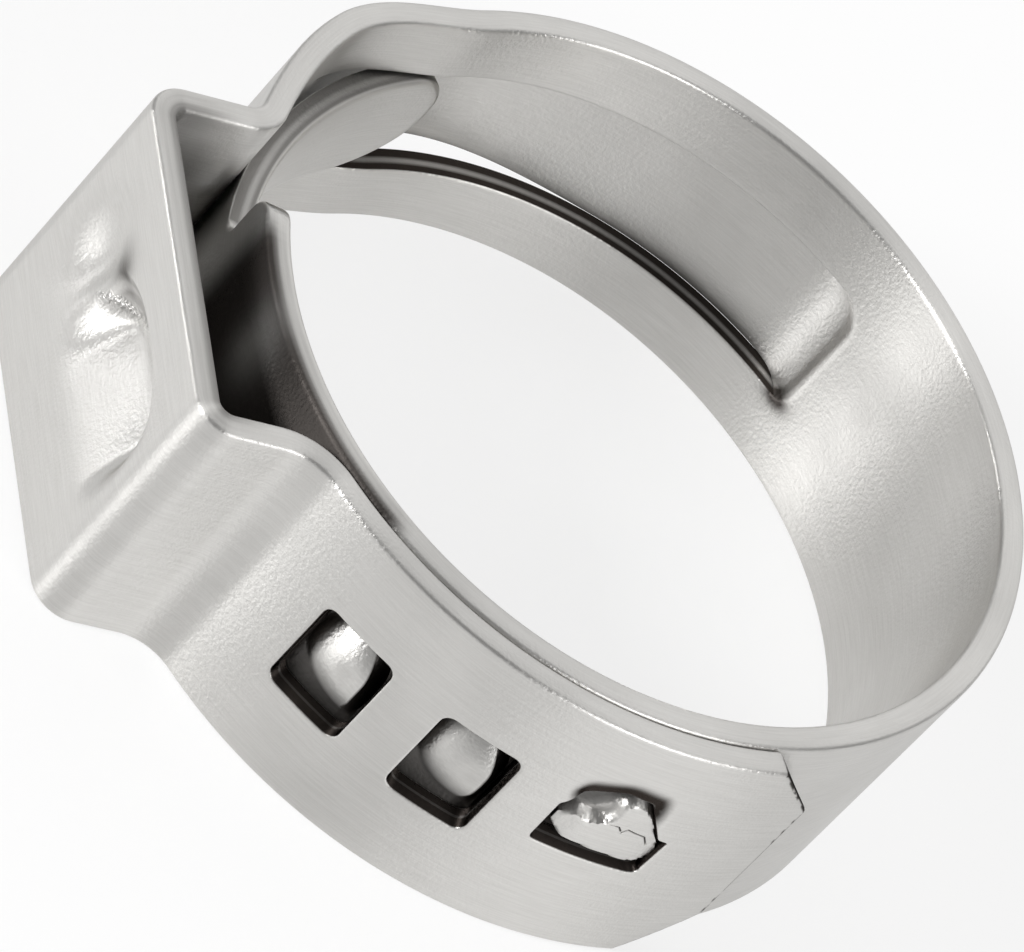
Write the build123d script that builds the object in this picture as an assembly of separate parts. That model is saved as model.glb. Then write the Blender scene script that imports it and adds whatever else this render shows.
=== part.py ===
from build123d import *
from math import acos, cos, degrees, pi, radians, sin
import os

# Stepless ear clamp, stamped and rolled from one strip of stainless steel.
# Millimetres and degrees. The bore axis is Z and the lower rim lies on Z = 0.
# Angles turn counter-clockwise from +X, seen from above, and the ear stands on +Y.

bore_diameter = 17.8
band_width = 7.0
band_thickness = 0.6
rim_chamfer = 0.12
lap_clearance = 0.04
punch_overrun = 1.0

ear_width = 9.1
ear_rise = 2.95
ear_corner_radius = 0.9
ear_foot_radius = 1.3
tail_foot_radius = 0.5

tongue_width = 3.3
tongue_tip_angle = 15.2
tongue_tip_radius = 1.1
tongue_tip_flat = 0.2
shoulder_angle = 75.0
shoulder_radius = 0.8
shoulder_notch_radius = 0.4

channel_width = 3.5
channel_shear_gap = 0.04
channel_open_angle = 40.0
channel_peak_angle = 12.0
channel_peak_rise = 0.5
channel_floor_angle = -21.0
channel_ramp_angle = -47.5
channel_end_angle = -59.0
channel_floor_depth = 0.55

hump_foot_angle = 16.0
hump_rise = 0.13

window_length = 1.9
window_width = 2.6
window_corner_radius = 0.25
window_angles = (135.5, 154.25)
hook_height = 0.5
hook_side_clearance = 0.16
hook_face_clearance = 0.04
hook_face_draft = 22.0

lug_angle = 174.85
lug_length = 2.46
lug_height = 0.52
lug_clearance = 0.2
lug_corner_radius = 0.16

strap_end_angle = 197.4
strap_chamfer = 1.45

dimple_length = 5.0
dimple_width = 3.3
dimple_depth = 0.5
dimple_offset = 1.1
dimple_height = 0.6

# Radii that follow from the sizes above.
bore_radius = bore_diameter / 2
ring_radius = bore_radius + band_thickness / 2
lap_radius = ring_radius + band_thickness + lap_clearance
crest_radius = lap_radius + hump_rise
floor_radius = ring_radius + channel_floor_depth
peak_radius = floor_radius + channel_peak_rise
ear_half = (ear_width - band_thickness) / 2
ear_top = bore_radius + ear_rise - band_thickness / 2
lap_face = bore_radius + band_thickness + lap_clearance / 2


def polar(angle, radius):
    return Vector(radius * cos(radians(angle)), radius * sin(radians(angle)), 0)


def along(angle):
    return Vector(-sin(radians(angle)), cos(radians(angle)), 0)


def arc(start, end, radius):
    middle = (start + end) / 2
    return ThreePointArc(polar(start, radius), polar(middle, radius), polar(end, radius))


def blend(start, start_radius, end, end_radius):
    # A smooth change of radius that leaves and arrives along the circle.
    points = []
    for step in range(7):
        share = step / 6
        rise = (1 - cos(pi * share)) / 2
        angle = start + (end - start) * share
        points.append(polar(angle, start_radius + (end_radius - start_radius) * rise))
    turn = 1 if end > start else -1
    return Spline(points, tangents=(along(start) * turn, along(end) * turn))


def foot_angle(side, bend):
    # Where the bend at the foot of an ear leg runs into the lapped radius.
    return degrees(acos(side * (ear_half + bend) / (lap_radius + bend)))


def foot(side, bend, angle):
    # The bend from the lapped radius up into a leg of the ear.
    centre = polar(angle, lap_radius + bend)
    leg = centre - Vector(side * bend, 0, 0)
    low = polar(angle, lap_radius)
    between = (leg + low) * 0.5 - centre
    middle = centre + between.normalized() * bend
    return low, middle, leg


def ear_path():
    tail_bend = tail_foot_radius + band_thickness / 2
    strap_bend = ear_foot_radius + band_thickness / 2
    corner = ear_corner_radius - band_thickness / 2
    tail = foot(1, tail_bend, foot_angle(1, tail_bend))
    strap = foot(-1, strap_bend, foot_angle(-1, strap_bend))
    right = Vector(ear_half, ear_top - corner, 0)
    right_top = Vector(ear_half - corner, ear_top, 0)
    left_top = Vector(-ear_half + corner, ear_top, 0)
    left = Vector(-ear_half, ear_top - corner, 0)
    lean = Vector(corner * sin(pi / 4), corner * sin(pi / 4), 0)
    right_middle = Vector(ear_half - corner, ear_top - corner, 0) + lean
    left_middle = Vector(-right_middle.X, right_middle.Y, 0)
    return [
        ThreePointArc(*tail),
        Line(tail[2], right),
        ThreePointArc(right, right_middle, right_top),
        Line(right_top, left_top),
        ThreePointArc(left_top, left_middle, left),
        Line(left, strap[2]),
        ThreePointArc(strap[2], strap[1], strap[0]),
    ]


def band_section(angle, radius, width):
    plane = Plane(origin=polar(angle, radius), x_dir=polar(angle, 1), z_dir=along(angle))
    return plane * Rectangle(band_thickness, width)


def strip():
    # The whole strip: inner band, hump over the tongue, ear, and outer strap.
    tail_angle = foot_angle(1, tail_foot_radius + band_thickness / 2)
    strap_angle = foot_angle(-1, ear_foot_radius + band_thickness / 2)
    path = [
        arc(shoulder_angle - 360, channel_end_angle, ring_radius),
        arc(channel_end_angle, hump_foot_angle, ring_radius),
        blend(hump_foot_angle, ring_radius, channel_open_angle, crest_radius),
        blend(channel_open_angle, crest_radius, tail_angle, lap_radius),
        *ear_path(),
        arc(strap_angle, strap_end_angle, lap_radius),
    ]
    section = band_section(shoulder_angle, ring_radius, band_width)
    section = chamfer(section.vertices(), rim_chamfer)
    return sweep(section, path=Wire([piece.edge() for piece in path]))


def tongue():
    # The narrow tongue that runs on under the ear and into the channel. Its tip is
    # rounded tightly at the upper corner and broadly at the lower one.
    section = band_section(tongue_tip_angle, ring_radius, tongue_width)
    blade = sweep(section, path=arc(tongue_tip_angle, shoulder_angle, ring_radius))
    end = blade.faces().sort_by_distance(polar(tongue_tip_angle, ring_radius))[0]
    corners = end.edges().filter_by(lambda edge: abs(edge.tangent_at(0.5).Z) < 0.5)
    corners = corners.sort_by(Axis.Z)
    broad_radius = tongue_width - tongue_tip_flat - tongue_tip_radius
    blade = fillet(corners[-1], tongue_tip_radius)
    corner = blade.edges().sort_by_distance(corners[0].center())[0]
    return fillet(corner, broad_radius)


def channel_slot():
    # The gap left in the band where the channel strip was sheared free.
    outer = crest_radius + band_thickness
    inner = ring_radius - band_thickness
    ring = Circle(outer) - Circle(inner)
    reach = outer * 2
    start = Line((0, 0), polar(channel_end_angle, reach))
    turn = arc(channel_end_angle, channel_open_angle, reach)
    end = Line(polar(channel_open_angle, reach), (0, 0))
    sector = make_face([start.edge(), turn.edge(), end.edge()])
    return extrude(ring & sector, amount=channel_width / 2, both=True)


def channel_strip():
    # The sheared middle strip, pushed outwards to clear the sliding tongue.
    path = [
        blend(channel_end_angle, ring_radius, channel_ramp_angle, floor_radius),
        arc(channel_ramp_angle, channel_floor_angle, floor_radius),
        blend(channel_floor_angle, floor_radius, channel_peak_angle, peak_radius),
        blend(channel_peak_angle, peak_radius, channel_open_angle, crest_radius),
    ]
    width = channel_width - 2 * channel_shear_gap
    section = band_section(channel_end_angle, ring_radius, width)
    return sweep(section, path=Wire([piece.edge() for piece in path]))


def facing(angle, radius):
    # A work plane that faces outwards: x runs along the band and y along the bore.
    return Plane(origin=polar(angle, radius), x_dir=along(angle), z_dir=polar(angle, 1))


def strap_cut(shape, angle):
    # A punch that passes through the outer strap and stops above the inner band.
    depth = 3 * band_thickness + punch_overrun
    prism = extrude(facing(angle, bore_radius) * shape, amount=depth)
    return prism - Cylinder(lap_face, band_width + 4 * punch_overrun)


def corner_trim(size, round_radius):
    # What a punch removes to leave one rounded corner, in the corner's own axes.
    square = Pos(size / 2, size / 2) * Rectangle(size, size)
    return square - Circle(round_radius)


def shoulder_trims():
    # The two rounded outer corners where the full width ends.
    trims = []
    for side in (1, -1):
        centre = Pos(shoulder_radius, side * (band_width / 2 - shoulder_radius))
        shape = corner_trim(shoulder_radius + punch_overrun, shoulder_radius)
        shape = shape.rotate(Axis.Z, 90 if side > 0 else 180)
        plane = facing(shoulder_angle, bore_radius - punch_overrun)
        depth = band_thickness + 2 * punch_overrun
        trims.append(extrude(plane * (centre * shape), amount=depth))
    return trims


def shoulder_notches():
    # The inside corners where the tongue leaves the full width.
    fills = []
    size = shoulder_notch_radius
    for side in (1, -1):
        square = Pos(-size / 2, size / 2) * Rectangle(size, size)
        shape = square - Pos(-size, size) * Circle(size)
        if side < 0:
            shape = mirror(shape, about=Plane.XZ)
        shape = Pos(0, side * tongue_width / 2) * shape
        plane = facing(shoulder_angle, bore_radius - punch_overrun)
        prism = extrude(plane * shape, amount=band_thickness + 2 * punch_overrun)
        outside = Cylinder(bore_radius + band_thickness, band_width)
        shell = outside - Cylinder(bore_radius, band_width)
        fills.append(prism & shell)
    return fills


def strap_end():
    # The free end of the strap with both corners cut off at 45 degrees.
    half = band_width / 2
    past = punch_overrun
    cuts = []
    for side in (1, -1):
        corner = Polyline(
            (-strap_chamfer - past, side * (half + past)),
            (past, side * (half + past)),
            (past, side * (half - strap_chamfer - past)),
            close=True,
        )
        cuts.append(strap_cut(make_face(corner), strap_end_angle))
    return cuts


def windows():
    shape = RectangleRounded(window_length, window_width, window_corner_radius)
    return [strap_cut(shape, angle) for angle in window_angles]


def half_dome(angle, radius):
    # Half of a flat oval dome, ended by the leaning face that bears on the window.
    length = window_length - 2 * hook_face_clearance
    width = window_width - 2 * hook_side_clearance
    dome = scale(Sphere(1), by=(length * 0.95, width / 2, hook_height))
    keep = Pos(-length, 0, 0) * Box(length * 2, width * 2, hook_height * 4)
    keep = keep.rotate(Axis.Y, -hook_face_draft)
    shape = Pos(length / 2, 0, 0) * (dome & keep)
    return facing(angle, radius) * shape


def hooks():
    return [half_dome(angle, bore_radius + band_thickness) for angle in window_angles]


def hook_hollows():
    return [half_dome(angle, bore_radius) for angle in window_angles]


def lug_outline(grow):
    # The leaf-shaped outline shared by the pressed lug and its window.
    half = lug_length / 2
    points = [
        (-half, -0.16 * lug_length),
        (-half, 0.18 * lug_length),
        (-0.08 * lug_length, 0.58 * lug_length),
        (0.1 * lug_length, 0.54 * lug_length),
        (half, 0.08 * lug_length),
        (half, -0.18 * lug_length),
    ]
    face = make_face(Polyline(*points, close=True))
    face = fillet(face.vertices(), lug_corner_radius)
    if grow > 0:
        face = offset(face, grow)
    return face


def lug():
    base = bore_radius + band_thickness / 2
    height = band_thickness / 2 + lug_height
    return extrude(facing(lug_angle, base) * lug_outline(0), amount=height)


def dimple(level):
    shape = scale(Sphere(1), by=(dimple_length / 2, dimple_width / 2, dimple_depth))
    shape = Rot(X=-90) * shape
    return Pos(-dimple_offset, level, dimple_height) * shape


def dimple_underside(level):
    # The bulge that the dimple raises on the inside of the ear.
    below = Pos(0, level - ear_width / 2, 0) * Box(ear_width * 2, ear_width, band_width)
    return dimple(level) & below


def clamp_band():
    band = strip() - channel_slot()
    for piece in shoulder_trims() + strap_end() + windows():
        band = band - piece
    band = band - strap_cut(lug_outline(lug_clearance), lug_angle)
    for piece in [tongue(), channel_strip()] + shoulder_notches() + hooks() + [lug()]:
        band = band + piece
    for piece in hook_hollows():
        band = band - piece
    top = ear_top + band_thickness / 2
    band = band + dimple_underside(top - band_thickness)
    band = band - dimple(top)
    return Pos(0, 0, band_width / 2) * band


os.makedirs("parts", exist_ok=True)
clamp = clamp_band()
export_step(clamp, "parts/clamp_band.step")
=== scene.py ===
import math

import bmesh
import bpy
import numpy as np
from mathutils import Matrix, Vector
from mathutils.geometry import delaunay_2d_cdt
from mathutils.kdtree import KDTree


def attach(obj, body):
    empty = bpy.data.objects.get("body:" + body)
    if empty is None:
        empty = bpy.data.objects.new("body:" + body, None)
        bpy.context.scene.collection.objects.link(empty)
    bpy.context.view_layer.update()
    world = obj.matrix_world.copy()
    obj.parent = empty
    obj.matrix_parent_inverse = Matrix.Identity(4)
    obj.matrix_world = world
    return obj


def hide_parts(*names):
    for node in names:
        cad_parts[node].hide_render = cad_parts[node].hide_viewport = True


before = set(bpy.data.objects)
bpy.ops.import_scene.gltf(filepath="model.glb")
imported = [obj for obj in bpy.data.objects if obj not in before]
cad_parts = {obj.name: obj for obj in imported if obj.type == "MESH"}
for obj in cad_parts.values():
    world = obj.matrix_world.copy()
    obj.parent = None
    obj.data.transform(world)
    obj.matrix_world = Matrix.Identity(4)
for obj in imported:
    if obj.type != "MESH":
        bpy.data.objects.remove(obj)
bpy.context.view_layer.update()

# Sizes of the strip, in millimetres and degrees, as in the part's source.
MM = 0.001
BORE_RADIUS = 8.9
BAND_WIDTH = 7.0
THICKNESS = 0.6
LAP_CLEARANCE = 0.04
EAR_WIDTH = 9.1
EAR_RISE = 2.95
EAR_CORNER = 0.9
STRAP_FOOT = 1.3
TAIL_FOOT = 0.5
TONGUE_WIDTH = 3.3
TONGUE_TIP = 15.2
TIP_RADIUS = 1.1
TIP_FLAT = 0.2
SHOULDER = 75.0
SHOULDER_RADIUS = 0.8
NOTCH_RADIUS = 0.4
CHANNEL_WIDTH = 3.5
CHANNEL_OPEN = 40.0
CHANNEL_PEAK = 12.0
CHANNEL_FLOOR = -21.0
CHANNEL_RAMP = -47.5
CHANNEL_END = -59.0
FLOOR_DEPTH = 0.55
PEAK_RISE = 0.5
HUMP_FOOT = 16.0
HUMP_RISE = 0.13
WINDOW_LENGTH = 1.9
WINDOW_WIDTH = 2.6
WINDOW_CORNER = 0.25
WINDOW_ANGLES = (135.5, 154.25)
HOOK_HEIGHT = 0.5
HOOK_FACE = 0.27
LUG_ANGLE = 174.85
LUG_LENGTH = 2.46
LUG_HEIGHT = 0.52
STRAP_END = 197.4
STRAP_CHAMFER = 1.45

# How the edges of the strip are finished, in millimetres.
RIM_ROLL = 0.09
CUT_EDGE = 0.035
SHEAR_GAP = 0.02
TONGUE_ROLL = 0.2
TONGUE_DROP = 0.12
CHANNEL_ROLL = 0.2
CHANNEL_DROP = 0.02

# Sizes that follow from those above. The radii are those of the strip's middle line.
HALF_WIDTH = BAND_WIDTH / 2
HALF_CHANNEL = CHANNEL_WIDTH / 2
RING = BORE_RADIUS + THICKNESS / 2
LAP = RING + THICKNESS + LAP_CLEARANCE
CREST = LAP + HUMP_RISE
FLOOR = RING + FLOOR_DEPTH
PEAK = FLOOR + PEAK_RISE
EAR_HALF = (EAR_WIDTH - THICKNESS) / 2
EAR_TOP = BORE_RADIUS + EAR_RISE - THICKNESS / 2


def smooth(x):
    # A rise from 0 to 1 that starts and ends level.
    x = np.clip(x, 0.0, 1.0)
    return x * x * (3 - 2 * x)


def softest(x):
    # A rise from 0 to 1 whose bend also starts and ends softly.
    x = np.clip(x, 0.0, 1.0)
    return x ** 3 * (x * (6 * x - 15) + 10)


def cosine_rise(x):
    # The rise from 0 to 1 of half a cosine wave, as in the part's source.
    return (1 - np.cos(np.pi * np.clip(x, 0.0, 1.0))) / 2


# ---- the strip's path

# Length of the short steps that the path is made of.
PATH_STEP = 0.04


def arc_line(centre, radius, start, end):
    count = max(4, int(abs(math.radians(end - start)) * radius / PATH_STEP))
    turn = np.radians(np.linspace(start, end, count))
    return np.column_stack([centre[0] + radius * np.cos(turn), centre[1] + radius * np.sin(turn)])


def blend_line(start, start_radius, end, end_radius):
    # A curve round the bore's axis whose radius changes gently.
    count = int(math.radians(end - start) * start_radius / PATH_STEP)
    share = np.linspace(0, 1, count)
    radius = start_radius + (end_radius - start_radius) * cosine_rise(share)
    turn = np.radians(start + (end - start) * share)
    return np.column_stack([radius * np.cos(turn), radius * np.sin(turn)])


def straight_line(start, end):
    count = max(2, int(np.hypot(end[0] - start[0], end[1] - start[1]) / PATH_STEP))
    share = np.linspace(0, 1, count)[:, None]
    return np.array(start) * (1 - share) + np.array(end) * share


def foot_angle(side, bend):
    # Where a leg of the ear meets the band, for the radius of the bend between them.
    return math.degrees(math.acos(side * (EAR_HALF + bend) / (LAP + bend)))


TAIL_BEND = TAIL_FOOT + THICKNESS / 2
STRAP_BEND = STRAP_FOOT + THICKNESS / 2
TAIL_ANGLE = foot_angle(1, TAIL_BEND)
STRAP_ANGLE = foot_angle(-1, STRAP_BEND)


def foot_centre(angle, bend):
    return ((LAP + bend) * math.cos(math.radians(angle)), (LAP + bend) * math.sin(math.radians(angle)))


def strip_path():
    # The middle line of the strip from the tongue's tip to the strap's free end.
    corner = EAR_CORNER - THICKNESS / 2
    tail = foot_centre(TAIL_ANGLE, TAIL_BEND)
    strap = foot_centre(STRAP_ANGLE, STRAP_BEND)
    flat = EAR_HALF - corner
    high = EAR_TOP - corner
    pieces = [
        ("ring", arc_line((0, 0), RING, TONGUE_TIP, 360 + HUMP_FOOT)),
        ("hump", blend_line(360 + HUMP_FOOT, RING, 360 + CHANNEL_OPEN, CREST)),
        ("hump_back", blend_line(360 + CHANNEL_OPEN, CREST, 360 + TAIL_ANGLE, LAP)),
        ("tail_foot", arc_line(tail, TAIL_BEND, TAIL_ANGLE + 180, 180)),
        ("tail_leg", straight_line((EAR_HALF, tail[1]), (EAR_HALF, high))),
        ("tail_corner", arc_line((flat, high), corner, 0, 90)),
        ("ear_top", straight_line((flat, EAR_TOP), (-flat, EAR_TOP))),
        ("strap_corner", arc_line((-flat, high), corner, 90, 180)),
        ("strap_leg", straight_line((-EAR_HALF, high), (-EAR_HALF, strap[1]))),
        ("strap_foot", arc_line(strap, STRAP_BEND, 0, STRAP_ANGLE - 180)),
        ("strap", arc_line((0, 0), LAP, STRAP_ANGLE, STRAP_END)),
    ]
    points = [pieces[0][1][0]]
    starts = {}
    length = 0.0
    for name, line in pieces:
        starts[name] = length
        for point in line[1:]:
            length += math.dist(points[-1], point)
            points.append(point)
    starts["end"] = length
    return np.array(points), starts


PATH, AT = strip_path()


def ring_at(angle):
    # Distance along the strip of a place on the inner band.
    return math.radians(angle - TONGUE_TIP) * RING


def strap_at(angle):
    # Distance along the strip of a place on the outer strap.
    return AT["strap"] + math.radians(angle - STRAP_ANGLE) * LAP


SHOULDER_AT = ring_at(SHOULDER)
SLOT_END = ring_at(360 + CHANNEL_END)
SLOT_OPEN = AT["hump_back"]
HOOKS_AT = [ring_at(angle) for angle in WINDOW_ANGLES]
WINDOWS_AT = [strap_at(angle) for angle in WINDOW_ANGLES]
LUG_AT = ring_at(LUG_ANGLE)
LEAF_AT = strap_at(LUG_ANGLE)
EAR_MIDDLE = (AT["ear_top"] + AT["strap_corner"]) / 2

# The corners of the channel's closed end are rounded by these, and its slits stop there.
NEAR_CORNER = 0.9
FAR_CORNER = 0.45
SLIT_NEAR = SLOT_END + NEAR_CORNER
SLIT_FAR = SLOT_END + FAR_CORNER

# ---- the flat blank

# Stretches of the strip: where each ends, and its mesh spacing along and across.
STRETCHES = [
    (SHOULDER_AT + 1.0, 0.14, 0.14),
    (HOOKS_AT[0] - 1.3, 0.22, 0.3),
    (HOOKS_AT[0] + 1.2, 0.055, 0.07),
    (HOOKS_AT[1] - 1.2, 0.2, 0.25),
    (HOOKS_AT[1] + 1.2, 0.055, 0.07),
    (LUG_AT - 1.6, 0.2, 0.25),
    (LUG_AT + 1.6, 0.055, 0.07),
    (SLOT_END - 1.2, 0.3, 0.3),
    (SLOT_END + 3.2, 0.085, 0.1),
    (SLOT_OPEN + 0.6, 0.15, 0.16),
    (AT["tail_foot"], 0.12, 0.2),
    (AT["tail_leg"], 0.06, 0.2),
    (AT["tail_corner"] - 0.1, 0.14, 0.2),
    (AT["ear_top"] + 0.1, 0.055, 0.2),
    (AT["strap_corner"] - 0.1, 0.075, 0.08),
    (AT["strap_leg"] + 0.1, 0.055, 0.2),
    (AT["strap_foot"] - 0.1, 0.14, 0.2),
    (AT["strap"], 0.075, 0.16),
    (LEAF_AT - 1.8, 0.13, 0.16),
    (LEAF_AT + 1.4, 0.06, 0.07),
    (AT["end"], 0.13, 0.16),
]


def spacing_at(s):
    for end, along, across in STRETCHES:
        if s <= end:
            return min(along, across)
    return STRETCHES[-1][1]


# Length of the steps along a rounded corner, and a turn too small to round.
ARC_STEP = 0.06
SLIGHT_TURN = 1e-3

# The last step along an edge may be longer by this share of the spacing.
LAST_STEP = 0.4


def rounded_loop(corners):
    # A closed outline from (along, across, corner radius), cut into short steps.
    count = len(corners)
    loop = []
    for index in range(count):
        before = np.array(corners[index - 1][:2])
        here = np.array(corners[index][:2])
        after = np.array(corners[(index + 1) % count][:2])
        radius = corners[index][2]
        back = (before - here) / np.linalg.norm(before - here)
        ahead = (after - here) / np.linalg.norm(after - here)
        half = math.acos(np.clip(np.dot(back, ahead), -1, 1)) / 2
        if radius <= 0 or abs(half - math.pi / 2) < SLIGHT_TURN:
            loop.append(here)
            continue
        reach = radius / math.tan(half)
        centre = here + (back + ahead) / np.linalg.norm(back + ahead) * radius / math.sin(half)
        start = here + back * reach - centre
        end = here + ahead * reach - centre
        sweep = math.pi - 2 * half
        turn = 1 if start[0] * end[1] - start[1] * end[0] > 0 else -1
        steps = max(3, int(radius * sweep / ARC_STEP))
        for step in range(steps + 1):
            angle = turn * sweep * step / steps
            spun = (
                start[0] * math.cos(angle) - start[1] * math.sin(angle),
                start[0] * math.sin(angle) + start[1] * math.cos(angle),
            )
            loop.append(centre + np.array(spun))
    return split_long(np.array(loop))


def split_long(loop):
    # The same outline with points added along its long edges.
    finer = []
    for here, after in zip(loop, np.roll(loop, -1, axis=0)):
        gap = np.linalg.norm(after - here)
        finer.append(here)
        place = spacing_at(here[0])
        direction = 1 if after[0] >= here[0] else -1
        travelled = place
        while travelled < gap - LAST_STEP * place:
            point = here + (after - here) * travelled / gap
            finer.append(point)
            place = spacing_at(point[0] + direction * 0.001)
            travelled += place
    return np.array(finer)


# How round the corners of the strap's free end are.
END_CORNER = 0.12
BLUNT_CORNER = 0.2


def outline():
    # The strip's own outline, from the tongue's tip to the chamfered end of the strap.
    tongue = TONGUE_WIDTH / 2
    end = AT["end"]
    cut = STRAP_CHAMFER
    return rounded_loop([
        (0, -tongue, TONGUE_WIDTH - TIP_FLAT - TIP_RADIUS),
        (SHOULDER_AT, -tongue, NOTCH_RADIUS),
        (SHOULDER_AT, -HALF_WIDTH, SHOULDER_RADIUS),
        (end - cut, -HALF_WIDTH, END_CORNER),
        (end, -HALF_WIDTH + cut, END_CORNER),
        (end, HALF_WIDTH - cut, BLUNT_CORNER),
        (end - cut, HALF_WIDTH, END_CORNER),
        (SHOULDER_AT, HALF_WIDTH, SHOULDER_RADIUS),
        (SHOULDER_AT, tongue, NOTCH_RADIUS),
        (0, tongue, TIP_RADIUS),
    ])


def placed(at, corners):
    # An outline whose corners are given from a place along the strip.
    return rounded_loop([(at + along, across, radius) for along, across, radius in corners])


def window(at):
    # The square window over a hook.
    length = WINDOW_LENGTH / 2
    width = WINDOW_WIDTH / 2
    corners = [(-length, -width), (length, -width), (length, width), (-length, width)]
    return placed(at, [(along, across, WINDOW_CORNER) for along, across in corners])


def leaf_window():
    # The leaf-shaped window over the lug.
    return placed(LEAF_AT, [
        (-1.39, -0.54, 0.12), (1.2, -0.66, 0.16), (1.28, 0.53, 0.05), (1.02, 0.58, 0.12),
        (0.45, 1.4, 0.2), (-0.25, 1.5, 0.4), (-1.1, 1.14, 0.3), (-1.4, 0.75, 0.12),
    ])


def lug_foot():
    # Where the pressed lug rises from the inner band.
    return placed(LUG_AT, [
        (-1.2, -0.4, 0.16), (1.2, -0.45, 0.16), (1.2, 0.2, 0.2), (0.3, 1.32, 0.2),
        (-0.24, 1.4, 0.2), (-1.2, 0.44, 0.16),
    ])


def lug_top():
    # The flattened top of the lug, with the bite that was torn out of its upper side.
    return placed(LUG_AT, [
        (-1.2, -0.1, 0.15), (-0.82, -0.43, 0.4), (0.78, -0.58, 0.6), (1.27, -0.46, 0.5),
        (1.29, 0.2, 0.6), (0.86, 1.1, 0.5), (0.36, 1.5, 0.4), (-0.36, 1.46, 0.4),
        (-0.18, 0.76, 0.3), (-0.45, 0.5, 0.35), (-0.84, 0.6, 0.3), (-1.2, 0.3, 0.15),
    ])


# The crack in the lug's flat top, from the middle of the lug.
CRACK = [
    (-0.07, 0.52), (0.12, 0.55), (0.25, 0.4), (0.33, 0.54), (0.52, 0.49), (0.76, 0.44), (0.91, 0.22),
]
CRACK_STEP = 0.03
CRACK_WIDTH = 0.012
CRACK_SIDE = 0.022


def crack_points(offset):
    # Points along the crack, or beside it.
    line = np.array(CRACK) + (LUG_AT, 0)
    points = []
    for start, end in zip(line[:-1], line[1:]):
        run = end - start
        count = max(2, int(np.linalg.norm(run) / CRACK_STEP))
        side = np.array([-run[1], run[0]]) / np.linalg.norm(run) * offset
        points += [start + run * step / count + side for step in range(count)]
    return np.array(points)


def slit(side, end):
    # The narrow gap between the channel strip and the band on one side of it.
    inner = side * (HALF_CHANNEL - SHEAR_GAP)
    outer = side * HALF_CHANNEL
    return rounded_loop([
        (end, inner, 0), (SLOT_OPEN, inner, 0), (SLOT_OPEN, outer, 0), (end, outer, 0),
    ])


# Distances are worked out for this many points at a time.
BATCH = 4000


def distance_to(points, loop):
    # Distance of each point from the nearest place on a closed outline.
    start = loop
    run = np.roll(loop, -1, axis=0) - loop
    length = np.maximum((run ** 2).sum(axis=1), 1e-12)
    nearest = np.full(len(points), np.inf)
    for first in range(0, len(points), BATCH):
        some = points[first:first + BATCH]
        away = some[:, None, :] - start[None, :, :]
        share = np.clip((away * run[None]).sum(axis=2) / length, 0, 1)
        gap = away - share[:, :, None] * run[None]
        nearest[first:first + BATCH] = np.sqrt((gap ** 2).sum(axis=2).min(axis=1))
    return nearest


def distance_between(points, others):
    # Distance of each point from the nearest of some others.
    tree = KDTree(len(others))
    for index, (along, across) in enumerate(others):
        tree.insert((along, across, 0), index)
    tree.balance()
    return np.array([tree.find((along, across, 0))[2] for along, across in points])


def inside(points, loop):
    # Which points lie inside a closed outline.
    x, y = points[:, 0], points[:, 1]
    hit = np.zeros(len(points), bool)
    for (ax, ay), (bx, by) in zip(loop, np.roll(loop, -1, axis=0)):
        if ay == by:
            continue
        cross = (ay > y) != (by > y)
        hit ^= cross & (x < (bx - ax) * (y - ay) / (by - ay) + ax)
    return hit


def inset_points(loop, depth):
    # Points a little way off an outline, on both sides of it.
    ahead = np.roll(loop, -1, axis=0) - np.roll(loop, 1, axis=0)
    ahead /= np.maximum(np.linalg.norm(ahead, axis=1), 1e-9)[:, None]
    normal = np.column_stack([-ahead[:, 1], ahead[:, 0]])
    return np.vstack([loop + normal * depth, loop - normal * depth])


def in_metal(points, loops):
    # Which points lie inside the strip's outline and outside every hole.
    solid = inside(points, loops[0])
    for hole in loops[1:]:
        solid &= ~inside(points, hole)
    return solid


def alongside(s, loop):
    # Which places lie on the stretch of the strip that an outline takes up.
    return (s > loop[:, 0].min() - 1) & (s < loop[:, 0].max() + 1)


# Rows closer than FINE_ROWS are needed only for the pressed forms, which stay within
# PRESSED_HALF of the strip's middle. Outside it the rows are coarse.
FINE_ROWS = 0.12
PRESSED_HALF = 2.3
COARSE_ROWS = 0.22
COARSE_FROM = PRESSED_HALF + 0.15


def grid_points():
    # Points that fill the strip, stretch by stretch.
    rows = []
    start = 0.0
    for end, along, across in STRETCHES:
        columns = max(1, round((end - start) / along))
        s = start + (np.arange(columns) + 0.5) * (end - start) / columns
        if across < FINE_ROWS:
            fine = np.arange(-PRESSED_HALF, PRESSED_HALF + 0.01, across)
            coarse = np.arange(COARSE_FROM, HALF_WIDTH, COARSE_ROWS)
            z = np.concatenate([-coarse[::-1], fine, coarse])
        else:
            z = np.linspace(-HALF_WIDTH, HALF_WIDTH, 2 * round(BAND_WIDTH / across / 2) + 1)
        rows.append(np.array(np.meshgrid(s, z)).reshape(2, -1).T)
        start = end
    return np.vstack(rows)


# Where rows of points follow the pressed forms: off the lug's outlines, before and after
# a hook's lip, along the dimple's crease and either side of its upper edge.
LUG_GUIDES = (0.045, 0.1)
LIP_GUIDES = (-0.04, 0.0, 0.05, HOOK_FACE)
LIP_ROWS = (-0.9, 1.15, 0.05)
CREASE_ROWS = (-3.3, 1.0, 0.06)
CREASE_SIDE = 0.07
CREASE_AT = 1.1


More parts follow.
